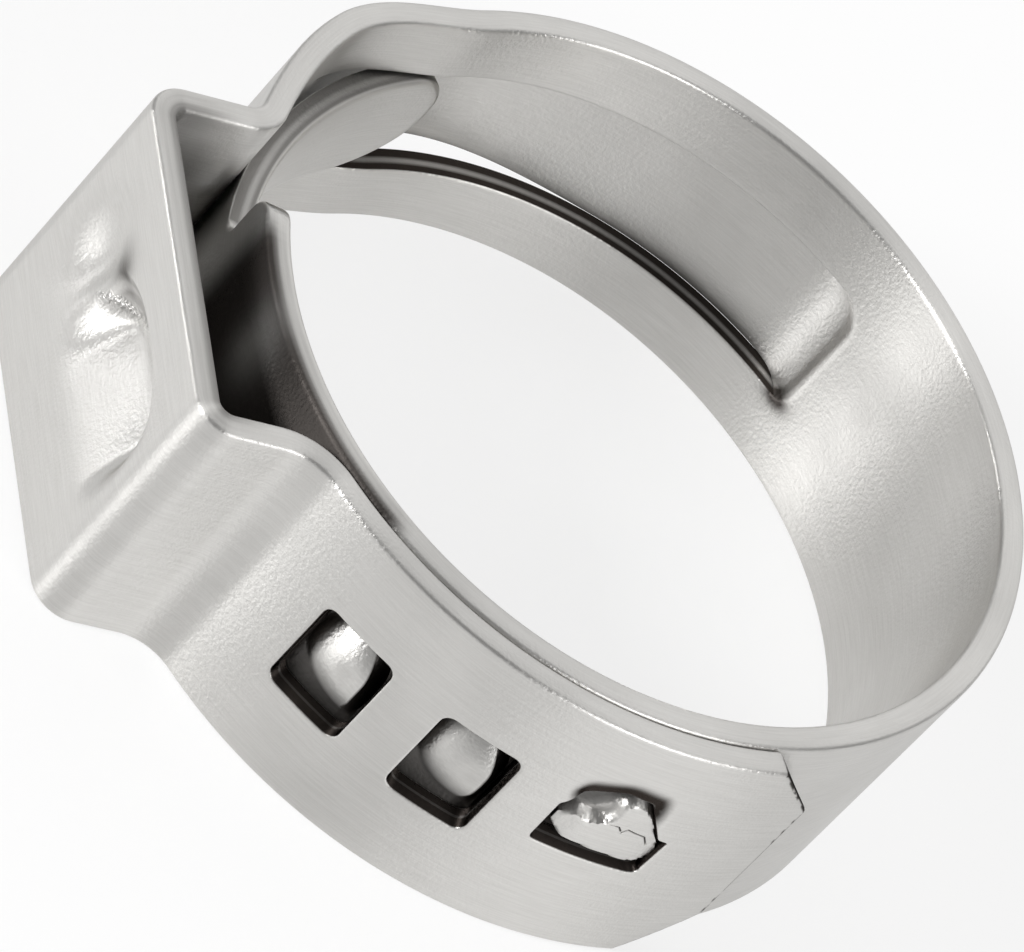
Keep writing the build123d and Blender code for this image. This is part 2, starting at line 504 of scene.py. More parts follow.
def guide_points():
    # Rows of points along the edges of the pressed forms, so that those come out clean.
    rows = []
    for loop in (lug_foot(), lug_top()):
        rows += [loop] + [inset_points(loop, depth) for depth in LUG_GUIDES]
    rows += [crack_points(offset) for offset in (-CRACK_SIDE, 0.0, CRACK_SIDE)]
    across = np.arange(*LIP_ROWS)
    for at in HOOKS_AT:
        for gap in LIP_GUIDES:
            rows.append(np.column_stack([at + hook_lip(across) + gap, across]))
    x = np.arange(*CREASE_ROWS)
    edge = wall_top(x)
    for line in (edge, edge + CREASE_SIDE, edge - CREASE_SIDE, np.full(len(x), CREASE_AT)):
        rows.append(np.column_stack([EAR_MIDDLE - x, line]))
    return np.vstack(rows)


# How far the filling points stay from the guide rows and from the edges.
GUIDE_CLEAR = 0.035
BORDER_CLEAR = 0.2
HOLE_CLEAR = 0.12
EDGE_CLEAR = 0.012

# Rings of points run along the edges at these depths, where a corner leaves room.
HOLE_RINGS = (0.02, 0.05, 0.09)
BORDER_RINGS = (0.02, 0.05, 0.09, 0.14)
RING_ROOM = 0.85


def filling_points(loops):
    # All the points between the edges: the grid, the guide rows and the rings.
    guides = guide_points()
    extra = grid_points()
    extra = extra[distance_between(extra, guides) > GUIDE_CLEAR]
    extra = np.vstack([extra, guides])
    for index, loop in enumerate(loops):
        near = np.full(len(extra), np.inf)
        close = alongside(extra[:, 0], loop)
        near[close] = distance_to(extra[close], loop)
        extra = extra[near > (HOLE_CLEAR if index else BORDER_CLEAR)]
    rings = []
    for index, loop in enumerate(loops):
        for depth in HOLE_RINGS if index else BORDER_RINGS:
            ring = inset_points(loop, depth)
            rings.append(ring[distance_to(ring, loop) > depth * RING_ROOM])
    extra = np.vstack([extra] + rings)
    good = in_metal(extra, loops)
    for loop in loops:
        close = good & alongside(extra[:, 0], loop)
        good[close] &= distance_to(extra[close], loop) > EDGE_CLEAR
    return extra[good]


def flat_blank():
    # The flat stamped blank: its points, its triangles, and the outlines of its edges:
    # first its own, then the three windows, then the two slits.
    loops = [outline()] + [window(at) for at in WINDOWS_AT] + [leaf_window()]
    loops += [slit(1, SLIT_NEAR), slit(-1, SLIT_FAR)]
    points = list(np.vstack(loops))
    edges = []
    first = 0
    for loop in loops:
        count = len(loop)
        edges += [(first + i, first + (i + 1) % count) for i in range(count)]
        first += count
    points += list(filling_points(loops))
    coords = [Vector(point) for point in points]
    out, _, faces, _, _, _ = delaunay_2d_cdt(coords, edges, [], 0, 1e-6)
    place = np.array([tuple(v) for v in out])
    faces = np.array(faces)
    return place, faces[in_metal(place[faces].mean(axis=1), loops)], loops


# ---- pressed forms

def roll_off(distance, width, depth=None):
    # The drop of a rounded edge at some distance from the cut.
    share = np.clip(1 - distance / width, 0, 1)
    return (width if depth is None else depth) * (1 - np.sqrt(1 - share ** 2))


def band_radius(s):
    # The middle radius of the band beside the channel strip.
    rise = cosine_rise((s - AT["hump"]) / (SLOT_OPEN - AT["hump"]))
    return np.where(s > AT["hump"], RING + (CREST - RING) * rise, RING)


def floor_radius(s):
    # The middle radius of the sheared strip: flat floor, peak, and back into the hump.
    angle = TONGUE_TIP + np.degrees(s / RING) - 360
    climb = cosine_rise((angle - CHANNEL_FLOOR) / (CHANNEL_PEAK - CHANNEL_FLOOR))
    peak_at = ring_at(360 + CHANNEL_PEAK)
    fall = cosine_rise((s - peak_at) / (SLOT_OPEN - peak_at))
    return np.where(angle > CHANNEL_PEAK, PEAK + (CREST - PEAK) * fall, FLOOR + (PEAK - FLOOR) * climb)


# The closed end of the channel: how its corners round, how soon they fade along the
# strip, how full the ramp is, and how soon it gets steep.
CORNER_REACH = 0.9
CORNER_FADE = 0.8
RAMP_FULLNESS = 2.2
RAMP_FOOT = 0.25


def channel_lift(s, z):
    # How far the sheared middle strip stands outside the rest of the band. Its closed
    # end is drawn out of the band, round at one corner and torn a little at the other.
    past = s - SLOT_END
    over = HALF_CHANNEL - np.abs(z)
    corner = np.where(z > 0, NEAR_CORNER, FAR_CORNER)
    beside = np.clip(1 - over / (corner * CORNER_REACH), 0, 1)
    held_back = corner * (1 - np.sqrt(1 - beside ** 2)) * (1 - smooth((past - corner) / CORNER_FADE))
    depth = past - held_back
    length = math.radians(CHANNEL_RAMP - CHANNEL_END) * RING
    climb = np.clip(depth / length, 0, 1)
    ramp = (1 - (1 - climb) ** RAMP_FULLNESS) * smooth((climb + 0.02) / RAMP_FOOT)
    in_slot = (np.abs(z) < HALF_CHANNEL - SHEAR_GAP / 2) & (s > SLOT_END - 0.2) & (s < SLOT_OPEN)
    return np.where(in_slot, (floor_radius(s) - band_radius(s)) * ramp, 0.0)


# The hooks: a dome that is fullest at its lip, a little off the strip's middle. The lip
# is curved, and it falls back more on one side than on the other.
LIP_AT = 0.62
LIP_SWEEP = 0.32
LIP_NOTCH = 0.05
DOME_FOOT = 0.87
DOME_FULLNESS = 1.9
DOME_MIDDLE = 0.12
DOME_UPPER_HALF = 1.15
DOME_LOWER_HALF = 1.2
DOME_GAIN = 1.12
HOOK_DENT = 0.05


def hook_lip(z):
    # The curved lip of a hook, measured from the middle of its window.
    upper = np.clip((z - 0.2) / 0.9, 0, 1)
    lower = np.clip((-0.5 - z) / 0.4, 0, 1)
    return LIP_AT - LIP_SWEEP * upper ** 2 - LIP_NOTCH * lower


def hook_swell(s, z, at):
    # How full the dome of a hook is at a place, from 0 at its foot to 1 at its crown.
    along = s - at
    lip = hook_lip(z)
    climb = 1 - np.clip((lip - 0.1 - along) / (lip + DOME_FOOT), 0, 1) ** DOME_FULLNESS
    half = np.where(z > DOME_MIDDLE, DOME_UPPER_HALF, DOME_LOWER_HALF)
    swell = climb - ((z - DOME_MIDDLE) / half) ** 2
    return np.where(np.abs(along) < WINDOW_LENGTH, np.clip(swell, 0, 1), 0.0)


def hook_lift(s, z, at):
    # A pressed half dome that climbs towards its lip and ends in a leaning torn face.
    along = s - at
    swell = hook_swell(s, z, at)
    dome = HOOK_HEIGHT * DOME_GAIN * swell ** 1.5 / (swell ** 0.5 + 0.12)
    dent = HOOK_DENT * np.exp(-((along - 0.3) ** 2 + (z - 0.1) ** 2) / 0.06) * swell
    face = 1 - np.clip((along - hook_lip(z)) / HOOK_FACE, 0, 1)
    return (dome - dent) * face


# The lug: the height of its soft foot, and how much higher that is in the torn bite,
# which starts at BITE_FROM. The foot rises over FOOT_RISE. The flat top is TOP_LEAN
# lower at one end, and its sides are SIDE_WIDTH wide, BITE_SIDE more in the bite.
LUG_FOOT = 0.12
BITE_FOOT = 0.16
BITE_FROM = 0.35
FOOT_RISE = 0.3
TOP_LEAN = 0.1
CRACK_DEPTH = 0.03
SIDE_WIDTH = 0.13
BITE_SIDE = 0.09


def lug_lift(place):
    # A soft foot with the flattened, cracked top of the lug on it.
    lift = np.zeros(len(place))
    near = np.abs(place[:, 0] - LUG_AT) < LUG_LENGTH
    some = place[near]
    foot, top = lug_foot(), lug_top()
    low = np.where(inside(some, foot), distance_to(some, foot), 0.0)
    high = np.where(inside(some, top), distance_to(some, top), 0.0)
    along = some[:, 0] - LUG_AT
    lean = TOP_LEAN * smooth((-0.4 - along) / 0.8)
    crack = CRACK_DEPTH * (distance_between(some, crack_points(0.0)) < CRACK_WIDTH)
    bite = smooth((some[:, 1] - BITE_FROM) / 0.4)
    foot_height = (LUG_FOOT + BITE_FOOT * bite) * smooth(low / FOOT_RISE)
    top_height = LUG_HEIGHT - 0.02 - foot_height - lean - crack
    lift[near] = foot_height + top_height * smooth(high / (SIDE_WIDTH + BITE_SIDE * bite))
    return lift


# The ear's dimple, deeper here than in the part's source. Its X runs from the ear's
# middle towards the tail, its crease lies VALLEY below an arched upper edge, and its
# slope starts at DIMPLE_FOOT.
DIMPLE_DEPTH = 0.95
DIMPLE_REACH = 4.0
VALLEY = 1.1
ARCH_TOP = 2.17
ARCH_DROP = 0.55
ARCH_MIDDLE = -1.15
DIMPLE_FOOT = -1.25
SLOPE_SOFTNESS = 0.03
CREASE_SHARPNESS = 5.0

# The rounder hollow beyond the dimple's tail end, the small pit at that end and the
# painted shade of that pit: how strong each is, its middle and its half widths, along and across.
HOLLOW = (0.4, 1.95, 0.6, 0.85, 1.15)
PIT = (0.07, 0.95, 1.3, 0.35, 0.45)
PIT_SHADE = (0.8, 0.95, 1.25, 0.5, 0.6)


def wall_top(x):
    # The arched upper edge of the ear's dimple.
    return ARCH_TOP - ARCH_DROP * np.clip(np.abs(x - ARCH_MIDDLE) / 2.0, 0, 1.9) ** 2.6


def soft_spot(x, z, spot):
    # A round spot that fades out softly, from its strength, middle and half widths.
    strength, x_middle, z_middle, x_half, z_half = spot
    return strength * np.exp(-(((x - x_middle) / x_half) ** 2 + ((z - z_middle) / z_half) ** 2))


def dimple_lift(s, z):
    # A valley pressed into the ear below an arched edge: a short wall above it, a long
    # soft slope below it, a small pit at its tail end and a rounder hollow beyond.
    x = EAR_MIDDLE - s
    top = wall_top(x)
    upper = np.clip((top - z) / VALLEY, 1e-3, None)
    rise = (z - DIMPLE_FOOT) / (top - VALLEY - DIMPLE_FOOT)
    lower = (rise + np.sqrt(rise ** 2 + SLOPE_SOFTNESS)) / 2
    valley = (upper ** -CREASE_SHARPNESS + lower ** -CREASE_SHARPNESS) ** (-1 / CREASE_SHARPNESS)
    length = softest((x + 3.6) / 1.2) * softest((1.7 - x) / 1.6)
    main = DIMPLE_DEPTH * np.clip(valley, 0, 1) * length * smooth((z + 3.1) / 1.0)
    sunk = main + soft_spot(x, z, HOLLOW) + soft_spot(x, z, PIT)
    return np.where(np.abs(x) < DIMPLE_REACH, -sunk, 0.0)


def dimple_painted_shade(s, z):
    # The dimple's upper wall, its crease and its pit are painted a little darker, as painted shade.
    x = EAR_MIDDLE - s
    below = wall_top(x) - z
    ends = smooth((x + 3.3) / 0.6) * smooth((1.0 - x) / 0.5)
    wall = 0.4 * smooth((VALLEY - 0.05 - below) / 0.15) * smooth((below - 0.03) / 0.06)
    crease = 0.5 * np.exp(-((below - VALLEY + 0.15) / 0.09) ** 2)
    darkening = np.maximum(np.maximum(wall, crease) * ends, soft_spot(x, z, PIT_SHADE))
    return np.where(np.abs(x) < DIMPLE_REACH, darkening, 0.0)


def dimple_tear(s, z):
    # Along the dimple's crease the surface is torn and crumpled.
    x = EAR_MIDDLE - s
    below = wall_top(x) - z
    ends = smooth((x + 3.3) / 0.6) * smooth((1.5 - x) / 0.5) * (np.abs(x) < DIMPLE_REACH)
    return ends * np.exp(-((below - VALLEY + 0.02) / 0.14) ** 2)


# The dent in the strap: how deep it is and how far from the window it reaches.
DENT_DEPTH = 0.24
DENT_REACH = 0.7


def leaf_dent(place, loop):
    # The strap's metal is pressed down softly above the leaf-shaped window.
    near = (np.abs(place[:, 0] - LEAF_AT) < 2.2) & (place[:, 1] > 0.5)
    dent = np.zeros(len(place))
    some = place[near]
    along = some[:, 0] - LEAF_AT
    reach = smooth((some[:, 1] - 0.8) / 0.5) * smooth((0.85 - along) / 0.4)
    reach *= smooth((along + 1.55) / 0.5)
    gap = distance_to(some, loop)
    dent[near] = -DENT_DEPTH * reach * np.clip(1 - gap / DENT_REACH, 0, 1)
    return dent


# How dark the torn faces are painted: round the tongue, at the strap's end, in the windows and
# in the slits; at the strap's end, in the windows and in the slits this also stands in for their
# shade.
# Points this close to an outline lie on its torn face.
TONGUE_DARK = 0.6
END_DARK = 1.0
WINDOW_DARK = 1.6
SLIT_DARK = 1.0
ON_EDGE = 0.004

# The outlines come in this order: the border, three windows, and then the two slits.
FIRST_SLIT = 4


def border_roll(gap, s):
    # The rolled edges of the strip itself, and how dark its torn faces are.
    tongue = s < SHOULDER_AT - NOTCH_RADIUS
    outer = roll_off(gap, np.where(tongue, CUT_EDGE, RIM_ROLL))
    inner = np.where(tongue, roll_off(gap, TONGUE_ROLL, TONGUE_DROP), roll_off(gap, RIM_ROLL))
    strap_tip = s > AT["end"] - STRAP_CHAMFER + 0.08
    return outer, inner, np.where(tongue, TONGUE_DARK, np.where(strap_tip, END_DARK, 0.0))


def window_roll(gap):
    # The same for the edges of a window.
    return roll_off(gap, CUT_EDGE * 1.6), roll_off(gap, CUT_EDGE), WINDOW_DARK


def slit_roll(gap, z):
    # The same for a slit, whose channel side is drawn rounder on the inside.
    channel = np.abs(z) < HALF_CHANNEL - SHEAR_GAP / 2
    drawn = roll_off(gap, CHANNEL_ROLL, CHANNEL_DROP)
    inner = np.where(channel, drawn, roll_off(gap, CUT_EDGE * 3, CUT_EDGE))
    return roll_off(gap, CUT_EDGE / 2), inner, SLIT_DARK


def edge_roll(place, loops):
    # How much each sheet falls away towards the edges of the strip, and how dark they are.
    s, z = place[:, 0], place[:, 1]
    outer, inner, torn_and_painted_shade = np.zeros((3, len(place)))
    for index, loop in enumerate(loops):
        close = alongside(s, loop)
        gap = distance_to(place[close], loop)
        if index == 0:
            rolled = border_roll(gap, s[close])
        elif index < FIRST_SLIT:
            rolled = window_roll(gap)
        else:
            rolled = slit_roll(gap, z[close])
        outer[close] = np.maximum(outer[close], rolled[0])
        inner[close] = np.maximum(inner[close], rolled[1])
        torn_and_painted_shade[close] = np.maximum(torn_and_painted_shade[close], np.where(gap < ON_EDGE, rolled[2], 0))
    return outer, inner, torn_and_painted_shade


# How dark the painted marks are, from 0 to 1: on the hooks' torn faces, painted shade at their
# feet, painted shade round the lug's top and how much paler it is in its bite, in its crack, a painted
# shadow on the strap's tip, painted shade beside the two slits, inside the ear and on the band below
# it.
HOOK_DARK = 0.9
HOOK_FOOT_SHADE = 0.82
LUG_SHADE = 0.95
BITE_PALER = 0.55
CRACK_DARK = 0.9
TIP_SHADOW = 0.85
LOWER_SLIT_SHADE = 0.6
UPPER_SLIT_SHADE = 0.25
EAR_SHADE = 0.5
UNDER_EAR_SHADE = 0.95


def wear_and_shade_places(place, dent):
    # Torn metal, and painted shade round the pressed forms: in the strap's dent, at the hooks' feet
    # and round the lug.
    s, z = place[:, 0], place[:, 1]
    # Painted shade where the strap's metal is pressed down, and the dimple's painted shade.
    wear_and_shade = np.maximum(smooth(-dent / 0.14), dimple_painted_shade(s, z))
    for at in HOOKS_AT:
        past = s - at - hook_lip(z)
        torn = (past > -0.005) & (past < HOOK_FACE + 0.4) & (np.abs(z) < 1.45)
        close = (np.abs(s - at) < 1.3) & (np.abs(z) < 1.6)
        # Painted shade at each hook's foot, where the dome sinks into its dark window.
        foot = np.where(close, 1 - smooth(hook_swell(s, z, at) / 0.5), 0)
        wear_and_shade = np.maximum(wear_and_shade, np.maximum(torn * HOOK_DARK, foot * HOOK_FOOT_SHADE))
    near = (np.abs(s - LUG_AT) < 1.7) & (np.abs(z - 0.4) < 1.7)
    top = lug_top()
    some = place[near]
    bare = np.where(inside(some, top), distance_to(some, top), 0)
    upper = some[:, 1]
    # Painted shade round the lug's flat top, lighter in the torn bite.
    beside = LUG_SHADE - BITE_PALER * smooth((upper - 0.3) / 0.2) * smooth((1.3 - upper) / 0.3)
    wear_and_shade[near] = np.maximum(wear_and_shade[near], beside * (1 - smooth(bare / 0.1)))
    crack = distance_between(some, crack_points(0.0)) < CRACK_WIDTH
    wear_and_shade[near] = np.maximum(wear_and_shade[near], crack * CRACK_DARK)
    return wear_and_shade


def strap_tip_painted_shadow(s, z):
    # A thin ragged painted shadow line runs along the sheared tip of the strap, where it sits on the
    # band.
    tip = AT["end"] - np.clip(np.abs(z) - HALF_WIDTH + STRAP_CHAMFER, 0, None) - s
    ragged = 0.05 + 0.03 * np.sin(9.0 * z) * np.sin(23.0 * z + 1.0)
    return TIP_SHADOW * ((s > AT["end"] - STRAP_CHAMFER) & (tip < ragged + 0.02))


def hidden_painted_shade(s, z):
    # The inner side carries painted shade along the slits, at the torn end of one, and in the ear.
    along = (s > SLIT_FAR) & (s < SLOT_OPEN)
    gap = HALF_CHANNEL - np.abs(z)
    beside = np.where(z < 0, LOWER_SLIT_SHADE, UPPER_SLIT_SHADE) * np.clip(1 - gap / 0.24, 0, 1)
    ear = smooth((s - AT["tail_leg"]) / 1.5) * smooth((AT["strap_leg"] + 1.0 - s) / 1.5)
    torn_end_shade = np.exp(-((s - SLIT_FAR + 0.12) / 0.4) ** 2 - ((z + HALF_CHANNEL - 0.03) / 0.26) ** 2)
    torn_end_shade = np.clip(1.3 * torn_end_shade, 0, 0.95)
    return np.maximum(np.maximum(np.where(along & (gap > 0), beside, 0.0), EAR_SHADE * ear), torn_end_shade)


# The painted shade on the band under the ear lies between these angles, with one painted paler
# patch of light, whose angle comes first.
DARK_FROM = 78
DARK_TO = 131
PAINTED_PALE_PLACE = (96.0, 2.4)


def under_ear_painted_shade(s, z):
    # The band below the ear is painted dark as shade, with one painted paler patch of light.
    dark = UNDER_EAR_SHADE * smooth((s - ring_at(DARK_FROM)) / 1.0) * smooth((ring_at(DARK_TO) - s) / 0.7)
    angle, height = PAINTED_PALE_PLACE
    painted_light_patch = 0.6 * np.exp(-((s - ring_at(angle)) / 0.6) ** 2 - ((z - height) / 1.0) ** 2)
    return dark * (1 - painted_light_patch)


def formed_strip():
    # The blank with its thickness, rolled edges and pressed forms, still straight. Its
    # vertices are those of the outer sheet and then those of the inner sheet.
    place, faces, loops = flat_blank()
    s, z = place[:, 0], place[:, 1]
    outer_roll, inner_roll, torn_and_painted_shade = edge_roll(place, loops)
    lift = channel_lift(s, z) + dimple_lift(s, z)
    for at in HOOKS_AT:
        lift += hook_lift(s, z, at)
    lift += lug_lift(place)
    dent = leaf_dent(place, loops[3])
    half = THICKNESS / 2
    outer = lift + dent + half - outer_roll
    inner = lift - half + inner_roll
    vertices = np.vstack([
        np.column_stack([s, z, outer]),
        np.column_stack([s, z, inner]),
    ])
    # Painted shade below the ear and a painted shadow along the strap's tip.
    painted_shade = np.maximum(under_ear_painted_shade(s, z), strap_tip_painted_shadow(s, z))
    outside = np.maximum(wear_and_shade_places(place, dent), painted_shade)
    # Torn faces, stains and painted shade, kept per vertex for the steel's colour.
    wear_and_shade = np.concatenate([np.maximum(torn_and_painted_shade, outside), np.maximum(torn_and_painted_shade, hidden_painted_shade(s, z))])
    crumpled = np.concatenate([dimple_tear(s, z), np.zeros(len(place))])
    return vertices, faces, wear_and_shade, crumpled


def strip_mesh():
    # The straight strip as one closed mesh: two sheets, and walls along every edge.
    vertices, faces, wear_and_shade, crumpled = formed_strip()
    count = len(vertices) // 2
    mesh = bmesh.new()
    # This layer holds the torn faces, stains and painted shade that darken the steel.
    mark = mesh.verts.layers.float.new("torn_and_painted_shade")
    crumple = mesh.verts.layers.float.new("crumpled")
    flat = mesh.verts.layers.float_vector.new("strip_place")
    points = [mesh.verts.new(vertex * MM) for vertex in vertices]
    for index, point in enumerate(points):
        point[mark] = wear_and_shade[index]
        point[crumple] = crumpled[index]
        point[flat] = Vector(vertices[index])
    edge_use = {}
    for a, b, c in faces:
        mesh.faces.new((points[a], points[b], points[c]))
        mesh.faces.new((points[c + count], points[b + count], points[a + count]))
        for start, end in ((a, b), (b, c), (c, a)):
            edge_use[(start, end)] = edge_use.get((start, end), 0) + 1
    for start, end in edge_use:
        if (end, start) not in edge_use:
            mesh.faces.new((points[end], points[start], points[start + count], points[end + count]))
    for face in mesh.faces:
        face.smooth = True
    join = [face for face in mesh.faces if len(face.verts) == 3]
    bmesh.ops.join_triangles(
        mesh, faces=join, angle_face_threshold=0.35, angle_shape_threshold=0.6,
    )
    data = bpy.data.meshes.new("strip_blank")
    mesh.to_mesh(data)
    mesh.free()
    return data


# ---- rolling it up

def math_node(nodes, operation, value=0.0):
    node = nodes.new("ShaderNodeMath")
    node.operation = operation
    node.inputs[1].default_value = value
    return node


def vector_node(nodes, operation):
    node = nodes.new("ShaderNodeVectorMath")
    node.operation = operation
    return node


def path_curve():
    # The strip's middle line as a curve that the nodes can follow.
    curve = bpy.data.curves.new("strip_path", "CURVE")
    curve.dimensions = "3D"
    spline = curve.splines.new("POLY")
    spline.points.add(len(PATH) - 1)
    for point, (x, y) in zip(spline.points, PATH):
        point.co = (x * MM, y * MM, 0, 1)
    return bpy.data.objects.new("strip_path", curve)


ROLLING_INPUTS = (
    ("Geometry", "Geometry"),
    ("Strip path", "Object"),
    ("Lower rim to middle", "Float"),
    ("Steel", "Material"),
)


def rolling_tree():
    # Geometry Nodes that roll the straight strip along its path.
    tree = bpy.data.node_groups.new("roll_strip", "GeometryNodeTree")
    face = tree.interface
    for name, kind in ROLLING_INPUTS:
        face.new_socket(name, in_out="INPUT", socket_type="NodeSocket" + kind)
    face.new_socket("Geometry", in_out="OUTPUT", socket_type="NodeSocketGeometry")
    node = tree.nodes.new
    link = tree.links.new
    given = node("NodeGroupInput")
    result = node("NodeGroupOutput")
    path = node("GeometryNodeObjectInfo")
    place = node("GeometryNodeInputPosition")
    split = node("ShaderNodeSeparateXYZ")
    sample = node("GeometryNodeSampleCurve")
    sample.mode = "LENGTH"
    sample.use_all_curves = True
    outward = vector_node(tree.nodes, "CROSS_PRODUCT")
    outward.inputs[1].default_value = (0, 0, 1)
    unit = vector_node(tree.nodes, "NORMALIZE")
    offset = vector_node(tree.nodes, "SCALE")
    raised = math_node(tree.nodes, "ADD")
    up = node("ShaderNodeCombineXYZ")
    add = vector_node(tree.nodes, "ADD")
    total = vector_node(tree.nodes, "ADD")
    move = node("GeometryNodeSetPosition")
    real = node("GeometryNodeRealizeInstances")
    grain = node("GeometryNodeStoreNamedAttribute")
    grain.data_type = "FLOAT_VECTOR"
    grain.domain = "POINT"
    grain.inputs["Name"].default_value = "grain"
    steel = node("GeometryNodeSetMaterial")
    link(given.outputs["Strip path"], path.inputs["Object"])
    link(path.outputs["Geometry"], sample.inputs["Curves"])
    link(place.outputs["Position"], split.inputs[0])
    link(split.outputs["X"], sample.inputs["Length"])
    link(sample.outputs["Tangent"], outward.inputs[0])
    link(outward.outputs[0], unit.inputs[0])
    link(unit.outputs[0], offset.inputs[0])
    link(split.outputs["Z"], offset.inputs["Scale"])
    link(split.outputs["Y"], raised.inputs[0])
    link(given.outputs["Lower rim to middle"], raised.inputs[1])
    link(raised.outputs[0], up.inputs["Z"])
    link(sample.outputs["Position"], add.inputs[0])
    link(offset.outputs[0], add.inputs[1])
    link(add.outputs[0], total.inputs[0])
    link(up.outputs[0], total.inputs[1])
    link(given.outputs["Geometry"], grain.inputs["Geometry"])
    link(sample.outputs["Tangent"], grain.inputs["Value"])
    link(grain.outputs[0], move.inputs["Geometry"])
    link(total.outputs[0], move.inputs["Position"])
    link(move.outputs[0], real.inputs[0])
    link(real.outputs[0], steel.inputs["Geometry"])
    link(given.outputs["Steel"], steel.inputs["Material"])
    link(steel.outputs[0], result.inputs[0])
    return tree


def input_name(tree, name):
    # The socket identifier of a named input.
    for item in tree.interface.items_tree:
        if item.in_out == "INPUT" and item.name == name:
            return item.identifier
    raise KeyError(name)


def rolled_band(steel):
    # The finished band: the straight strip, rolled up and turned into a plain mesh.
    blank = bpy.data.objects.new("strip_blank", strip_mesh())
    path = path_curve()
    for piece in (blank, path):
        bpy.context.scene.collection.objects.link(piece)
    tree = rolling_tree()
    roll = blank.modifiers.new("roll", "NODES")
    roll.node_group = tree
    roll[input_name(tree, "Strip path")] = path
    roll[input_name(tree, "Lower rim to middle")] = HALF_WIDTH * MM
    roll[input_name(tree, "Steel")] = steel
    seen = blank.evaluated_get(bpy.context.evaluated_depsgraph_get())
    mesh = bpy.data.meshes.new_from_object(seen)
    mesh.name = "clamp_strip"
    band = bpy.data.objects.new("clamp_strip", mesh)
    bpy.context.scene.collection.objects.link(band)
    for piece in (blank, path):
        bpy.data.objects.remove(piece)
    return band


def even_shading(band):
    # Large faces keep their own direction, so that cut walls look flat between the rolls.
    even = band.modifiers.new("even", "WEIGHTED_NORMAL")
    even.keep_sharp = True
    even.weight = 60
    seen = band.evaluated_get(bpy.context.evaluated_depsgraph_get())
    rough = band.data
    band.data = bpy.data.meshes.new_from_object(seen)
    band.modifiers.clear()
    band.data.name = "clamp_strip"
    bpy.data.meshes.remove(rough)


def sharpen(mesh, angle):
    # Cut edges stay crisp, while rolled and pressed surfaces shade smoothly.
    work = bmesh.new()
    work.from_mesh(mesh)
    for edge in work.edges:
        if len(edge.link_faces) == 2 and edge.calc_face_angle(0) > math.radians(angle):
            edge.smooth = False
    work.to_mesh(mesh)
    work.free()


# ---- finish of the steel

def noise(nodes, scale, detail):
    texture = nodes.new("ShaderNodeTexNoise")
    texture.inputs["Scale"].default_value = scale
    texture.inputs["Detail"].default_value = detail
    return texture


def attribute(nodes, name):
    place = nodes.new("ShaderNodeAttribute")
    place.attribute_name = name
    return place


def ranged(nodes, low, high, to_low, to_high):
    span = nodes.new("ShaderNodeMapRange")
    span.inputs["From Min"].default_value = low
    span.inputs["From Max"].default_value = high
    span.inputs["To Min"].default_value = to_low
    span.inputs["To Max"].default_value = to_high
    return span


def colour_mix(nodes, first, second):
    mix = nodes.new("ShaderNodeMix")
    mix.data_type = "RGBA"
    mix.inputs["A"].default_value = first
    mix.inputs["B"].default_value = second
    return mix


def relief(nodes, strength, distance):
    bump = nodes.new("ShaderNodeBump")
    bump.inputs["Strength"].default_value = strength
    bump.inputs["Distance"].default_value = distance
    return bump


# Colours of the steel, the dark colour of its stains and painted shade, and how bright it is at a
# glancing angle where it is darkened.
DARKER_STEEL = (0.61, 0.60, 0.58, 1)
PALER_STEEL = (0.67, 0.66, 0.64, 1)
STAIN_AND_SHADE = (0.045, 0.038, 0.034, 1)
WHITE = (1, 1, 1, 1)
STAIN_AND_SHADE_GLANCE = (0.15, 0.15, 0.15, 1)

# Sizes of the patterns: the grain's on the flat strip, and cells to the metre.
GRAIN_STRETCH = (0.9, 24.0, 24.0)
CLOUDS = 300.0
PITS = 11000.0
FOLDS = 7500.0

# Depth of the grain and the pits, and of the crumpled crease, in metres.
FINE_RELIEF = 0.00002
FOLD_RELIEF = 0.00018


